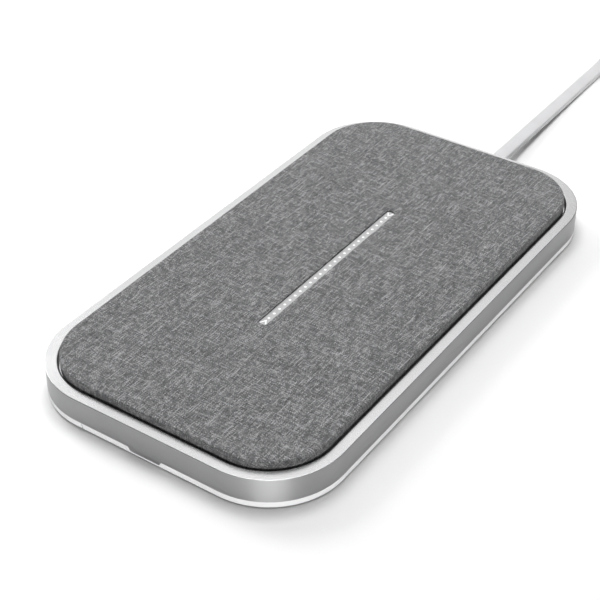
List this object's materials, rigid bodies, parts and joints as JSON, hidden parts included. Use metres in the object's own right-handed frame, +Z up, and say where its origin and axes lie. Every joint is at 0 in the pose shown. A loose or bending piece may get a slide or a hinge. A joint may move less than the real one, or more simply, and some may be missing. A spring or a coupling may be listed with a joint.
{
  "type": "wireless charging pad",
  "caption": "Slim rounded rectangular wireless charging pad with a fabric top, a slim alloy frame, a recessed light bar and a captive flat lead coiled behind it.",
  "frame": {"origin": "middle of the pad's footprint, at the level it stands on", "axes": "+Z up; +Y along the pad's length, towards the end the lead leaves; +X across it"},
  "size_m": [0.1231, 0.3431, 0.0118],
  "materials": {
    "alloy": "fine bead-blasted, satin anodised",
    "base_plastic": "satin moulded",
    "foot_rubber": "matt",
    "screw_steel": "plain",
    "tray_plastic": "moulded",
    "foam": "open cell",
    "cover_fabric": "heathered plain weave",
    "light_guide": "satin translucent",
    "light_window": "translucent white",
    "flex_circuit": "polyimide",
    "led": "moulded",
    "ferrite": "matt",
    "copper_wire": "enamelled",
    "solder": "bright",
    "chip": "moulded",
    "circuit_board": "solder resist",
    "connector": "moulded",
    "core_wire": "insulated",
    "cable_jacket": "satin soft jacket",
    "relief_rubber": "matt",
    "tie_strap": "woven hook and loop",
    "plug_plastic": "satin",
    "plug_metal": "nickel plated",
    "contact_gold": "plated",
    "capacitor": "matt"
  },
  "bodies": {
    "root": {"alloy_frame": "alloy", "base_plate": "base_plastic", "foot_ring": "foot_rubber", "base_screws": "screw_steel", "top_tray": "tray_plastic", "foam_layer": "foam", "fabric_cover": "cover_fabric", "light_bar": "light_guide", "light_dots": "light_window", "front_chevron": "light_window", "rear_chevron": "light_window", "led_strip": "flex_circuit", "status_leds": "led", "led_ribbon": "flex_circuit", "coil_holder": "tray_plastic", "ferrite_sheet": "ferrite", "front_charging_coil": "copper_wire", "middle_charging_coil": "copper_wire", "rear_charging_coil": "copper_wire", "coil_leads": "copper_wire", "coil_terminals": "solder", "coil_thermistor": "chip", "main_board": "circuit_board", "board_screws": "screw_steel", "power_inductor": "chip", "lead_socket": "connector", "lead_connector": "connector", "lead_cores": "core_wire", "lead_inner_run": "cable_jacket", "lead_clamp": "tray_plastic", "clamp_screws": "screw_steel", "strain_relief": "relief_rubber", "power_cable": "cable_jacket", "cable_coil": "cable_jacket", "cable_tie": "tie_strap", "cable_tail": "cable_jacket", "plug_neck": "relief_rubber", "plug_body": "plug_plastic", "plug_shell": "plug_metal", "plug_tongue": "connector", "plug_contacts": "contact_gold", "power_controller": "chip", "bridge_chips": "chip", "resonant_capacitors": "capacitor", "input_capacitors": "capacitor", "ribbon_socket": "connector"}
  },
  "joints": []
}
